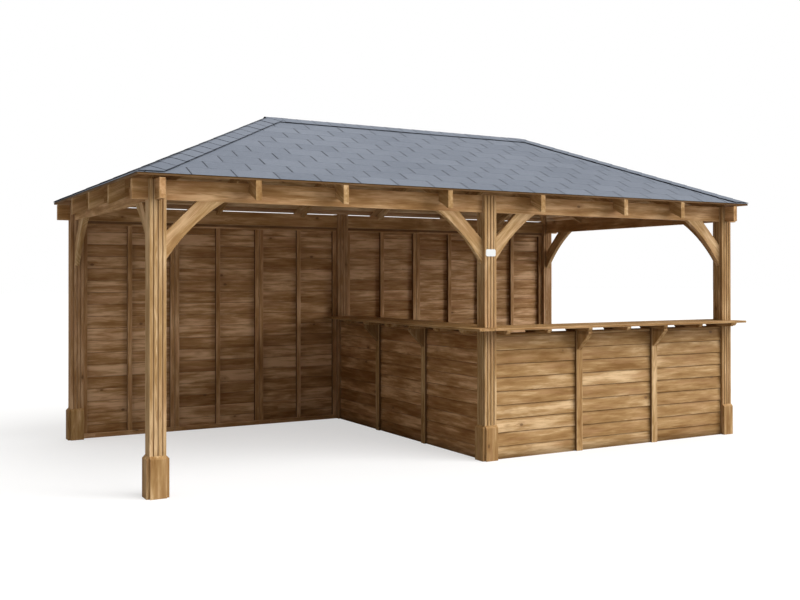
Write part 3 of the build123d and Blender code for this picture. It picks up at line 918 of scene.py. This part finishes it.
class GARDENBAR_OT_caps(bpy.types.Operator):
    """Laps the caps up the four hips and along the ridge"""
    bl_idname = "garden_bar.caps"
    bl_label = "Hip and Ridge Caps"

    def execute(self, context):
        roof = context.scene.garden_roof
        tree = cap_tree()
        finish = shingle_finish("cap_granules", roof.bitumen, folded=True)
        over_deck, ridge_thin, ridge_sink = 0.0052, 0.6, 0.0012
        hip_short, hip_top_cut, ridge_past = 0.012, 0.95, 0.042
        shared = {"Exposure": roof.cap_exposure, "Half Width": roof.cap_half, "Finish": finish}
        lift = (DECK + over_deck) / cos(PITCH)
        slope = tan(PITCH)
        far_x, far_y = RUN_X + SHINGLE_OVER, RUN_Y + SHINGLE_OVER
        low = TAIL_TOP - SHINGLE_OVER * slope + lift
        rise = atan(slope / sqrt(2))
        length = far_y * sqrt(2) / cos(rise)
        fall = sin(PITCH) / sqrt(2) / (sin(PITCH) * sin(rise) / sqrt(2) + cos(PITCH) * cos(rise))
        hips = []
        for sx, sy in ((-1, -1), (1, -1), (1, 1), (-1, 1)):
            up = Vector((-sx * cos(rise) / sqrt(2), -sy * cos(rise) / sqrt(2), sin(rise)))
            across = up.cross(Vector((0, 0, 1))).normalized()
            place = Matrix((across, up, across.cross(up))).transposed().to_4x4()
            place.translation = (sx * far_x, sy * far_y, low)
            hips.append(grow(f"hip_cap_{len(hips)}", tree, {
                **shared, "Count": ceil(length / roof.cap_exposure), "Fall": fall,
                "Sheet": roof.cap_sheet, "Corner": 1 / cos(rise), "Lean": tan(rise),
                "Run": length - hip_short, "Top Cut": sx * sy * hip_top_cut,
                "Seed": 130 + len(hips)}, place))
        join("hip_cap_run", hips)
        dress(hips[0], "caps", "hip_caps")

        reach = RIDGE_X + ridge_past
        place = Matrix.Rotation(-pi / 2, 4, "Z")
        place.translation = (-reach, 0, TAIL_TOP + RUN_Y * slope + lift - ridge_sink)
        ridge = grow("ridge_cap_run", tree, {
            **shared, "Count": round(2 * reach / roof.cap_exposure), "Fall": slope,
            "Sheet": roof.cap_sheet * ridge_thin, "Corner": 0.0, "Lean": 0.0,
            "Run": 2 * reach, "Top Cut": 0.0, "Seed": 151}, place)
        dress(ridge, "caps", "ridge_cap")
        return {"FINISHED"}


def join(name, pieces):
    """Makes several pieces one, under a new name."""
    with bpy.context.temp_override(active_object=pieces[0], selected_editable_objects=pieces):
        bpy.ops.object.join()
    pieces[0].name = name
    pieces[0].data.name = name


def timber_finishes():
    """The finish of each frame node but the posts, by the node's name."""
    panel, half_panel = PANEL, PANEL / 2
    batten_x = POST / 2
    batten_y = batten_x - HALF_DEPTH
    stick_x, rail_x = batten_x + STICK / 2, batten_x + half_panel
    side_rail_y = batten_y + half_panel
    rail_z, rail_gap, bar_rail_gap = 0.02, 2.09, 0.3
    stick_y, rail_y, rear_batten_y = 1.43, 1.44, 1.474
    bearer_z, counter_z, end_batten_y, plank = 1.095, 1.123, -1.5, 0.15
    along_x = straight_timber("beam_timber_along", 0, (FAR, 2 * HALF_DEPTH, 2.0),
                              (0, HALF_DEPTH, BEAM_Z), -0.12, tint=BEAM_TINT)
    along_y = straight_timber("beam_timber_across", 1, (2 * BAY, FAR, 2.0),
                              (BAY, 0, BEAM_Z), -0.05, tint=BEAM_TINT)
    rafters = rafter_timber()
    side_braces = brace_timber("brace_timber_side", side_brace=True)
    return {
        "beam_front": along_x, "beam_rear": along_x, "ridge_board": along_x,
        "beam_left": along_y, "beam_right": along_y,
        "braces_front": brace_timber("brace_timber_front", side_brace=False),
        "braces_left": side_braces, "braces_right": side_braces,
        "common_rafters": rafters, "end_rafters": rafters, "jack_rafters": rafters,
        "hip_rafters": rafters,
        "rear_wall_sticks": straight_timber(
            "stick_timber", 2, (panel / 6, 5, FAR), (stick_x, stick_y, 0), -0.1,
            painted_shade=stick_side_shade, tint=INNER_SHADE_TINT),
        "rear_wall_rails": straight_timber(
            "rail_timber", 0, (panel, 5, rail_gap), (rail_x, rail_y, rail_z), -0.1,
            painted_shade=beam_shadow_on_rail, tint=INNER_SHADE_TINT),
        "rear_cover_battens": straight_timber(
            "rear_batten_timber", 2, (panel, 5, FAR), (batten_x, rear_batten_y, 0)),
        "bar_cover_battens": straight_timber(
            "bar_batten_timber", 2, (panel, panel, FAR), (batten_x, batten_y, 0), -0.15,
            painted_shade=batten_side_shade),
        "bar_front_frame": straight_timber(
            "bar_frame_timber", 0, (panel, 5, bar_rail_gap), (rail_x, -rail_y, rail_z)),
        "bar_side_frame": straight_timber(
            "bar_side_frame_timber", 1, (5, panel, bar_rail_gap), (0, side_rail_y, rail_z)),
        "counter_brackets": straight_timber(
            "bracket_timber", 2, (panel, panel, FAR), (batten_x, batten_y, 0), 0.15,
            worn_and_highlit=False, painted_shade=bracket_shade),
        # Painted shade: the bearers are darker, as they lie in the shade under the counter
        "counter_bearers": straight_timber(
            "bearer_timber", 1, (half_panel, half_panel, FAR), (batten_x, batten_y, bearer_z),
            0.4, worn_and_highlit=False),
        "counter_end_batten": straight_timber(
            "end_batten_timber", 0, (FAR, 5, FAR), (0, end_batten_y, bearer_z)),
        "counter_front": straight_timber(
            "counter_timber_along", 0, (FAR, plank, FAR), (0, -HALF_DEPTH, counter_z), 0.5),
        "counter_side": straight_timber(
            "counter_timber_across", 1, (plank, FAR, FAR), (0, 0, counter_z), 0.5),
        "foot_boards": straight_timber(
            "foot_board_timber", 2, (0.14, 0.14, FAR), (0.07, 0.07, 0), 0.3),
        "blank_plate": plate_finish(),
    }


class GARDENBAR_OT_timber_finish(bpy.types.Operator):
    """Gives the frame's posts, beams, rafters, braces and battens their wood"""
    bl_idname = "garden_bar.timber_finish"
    bl_label = "Timber Finish"

    def execute(self, context):
        merge, post_edge, other_edge = 0.00002, 0.0018, 0.0025
        front_posts = post_timber("post_timber", PLAIN)
        rear_posts = post_timber("rear_post_timber", INNER_SHADE_TINT)
        finishes = timber_finishes()
        for name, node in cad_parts.items():
            is_post = name.startswith("post_")
            if is_post:
                finishes[name] = rear_posts if "rear" in name else front_posts
            if name not in finishes:
                continue
            node.data.materials.clear()
            node.data.materials.append(finishes[name])
            weld = node.modifiers.new("weld", "WELD")
            weld.merge_threshold = merge
            if name == "foot_boards":
                continue
            soften = node.modifiers.new("soft_edges", "BEVEL")
            soften.width = post_edge if is_post else other_edge
            soften.segments = 2
            soften.limit_method = "ANGLE"
            soften.angle_limit = radians(35)
        return {"FINISHED"}


class GARDENBAR_OT_stage(bpy.types.Operator):
    """Sets the camera, the lamps, the sky and the floor"""
    bl_idname = "garden_bar.stage"
    bl_label = "Stage"

    def execute(self, context):
        stage = context.scene.garden_stage
        self.camera(context.scene, stage)
        self.lamps(stage)
        self.sky(context.scene, stage)
        self.floor(stage)
        return {"FINISHED"}

    def camera(self, scene, stage):
        camera = placed("camera", bpy.data.cameras.new("camera"))
        camera.data.lens = stage.lens
        camera.data.sensor_width = 36
        camera.data.shift_y = stage.shift
        camera.data.clip_end = 200
        camera.location = stage.camera
        turn = (Matrix.Rotation(-stage.yaw, 3, "Z") @ Matrix.Rotation(pi / 2 + stage.tilt, 3, "X")
                @ Matrix.Rotation(stage.roll, 3, "Z"))
        camera.rotation_euler = turn.to_euler()
        scene.camera = camera
        scene.view_settings.view_transform = "Standard"

    def lamps(self, stage):
        for name, strength, height, turn, soft in (
                ("key_light", stage.key, stage.key_height, stage.key_turn, stage.key_soft),
                ("fill_light", stage.fill, stage.fill_height, stage.fill_turn, stage.fill_soft)):
            lamp = placed(name, bpy.data.lights.new(name, "SUN"))
            lamp.data.energy = strength
            lamp.data.angle = soft
            lamp.rotation_euler = (pi / 2 - height, 0, turn)

    def sky(self, scene, stage):
        """Dim at the sides and bright overhead, and plain white to the camera."""
        scene.world = bpy.data.worlds.new("sky")
        scene.world.use_nodes = True
        tree = scene.world.node_tree
        tree.nodes.clear()
        seen_ray = add_node(tree, "ShaderNodeLightPath", {}, {}, "Is Camera Ray")
        height = add_node(tree, "ShaderNodeTexCoord", {}, {}, "Generated").xyz()[2]
        glow = stage.horizon + height.fade(0.0, 0.9) * (stage.sky - stage.horizon)
        light = add_node(tree, "ShaderNodeBackground", {},
                         {"Color": (1, 0.985, 0.96, 1), "Strength": glow})
        seen = add_node(tree, "ShaderNodeBackground", {}, {"Color": (1, 1, 1, 1)})
        both = add_node(tree, "ShaderNodeMixShader", {}, {"Fac": seen_ray, 1: light, 2: seen})
        add_node(tree, "ShaderNodeOutputWorld", {}, {"Surface": both}, None)

    def floor(self, stage):
        """A pale floor just under the posts, which the camera sees brighter."""
        half, below = stage.floor_half, -0.0005
        mesh = bpy.data.meshes.new("floor")
        mesh.from_pydata([(x * half, y * half, below)
                          for x, y in ((-1, -1), (1, -1), (1, 1), (-1, 1))],
                         [], [(0, 1, 2, 3)])
        floor = placed("floor", mesh)
        material, tree = new_material("pale_floor")
        shine = add_node(tree, "ShaderNodeLightPath", {}, {}, "Is Camera Ray") * stage.floor_glow
        matt = add_node(tree, "ShaderNodeBsdfDiffuse", {}, {"Color": (*stage.floor, 1)})
        glow = add_node(tree, "ShaderNodeEmission", {}, {"Strength": shine})
        end_material(tree, add_node(tree, "ShaderNodeAddShader", {}, {0: matt, 1: glow}))
        floor.data.materials.append(material)


MAKERS = (GARDENBAR_OT_stage, GARDENBAR_OT_timber_finish, GARDENBAR_OT_wall_boards,
          GARDENBAR_OT_roof_boards, GARDENBAR_OT_shingles, GARDENBAR_OT_caps)


class GARDENBAR_PT_panel(bpy.types.Panel):
    """Lists what makes the garden bar"""
    bl_idname = "GARDENBAR_PT_panel"
    bl_label = "Garden Bar"
    bl_space_type = "VIEW_3D"
    bl_region_type = "UI"
    bl_category = "Garden Bar"

    def draw(self, context):
        for maker in MAKERS:
            self.layout.operator(maker.bl_idname)
        for settings in ("garden_timber", "garden_walls", "garden_roof", "garden_stage"):
            group = getattr(context.scene, settings)
            box = self.layout.box()
            for name in group.bl_rna.properties.keys():
                if name not in ("rna_type", "name"):
                    box.prop(group, name)


CLASSES = (GardenBarTimber, GardenBarWalls, GardenBarRoof, GardenBarStage, *MAKERS,
           GARDENBAR_PT_panel)
GROUPS = {"garden_timber": GardenBarTimber, "garden_walls": GardenBarWalls,
          "garden_roof": GardenBarRoof, "garden_stage": GardenBarStage}


def register():
    for one in CLASSES:
        bpy.utils.register_class(one)
    for name, group in GROUPS.items():
        setattr(bpy.types.Scene, name, PointerProperty(type=group))


def unregister():
    for name in GROUPS:
        delattr(bpy.types.Scene, name)
    for one in reversed(CLASSES):
        bpy.utils.unregister_class(one)


def main():
    register()
    bpy.ops.garden_bar.stage()
    bpy.ops.garden_bar.timber_finish()
    bpy.ops.garden_bar.wall_boards()
    bpy.ops.garden_bar.roof_boards()
    bpy.ops.garden_bar.shingles()
    bpy.ops.garden_bar.caps()


if __name__ == "__main__":
    main()
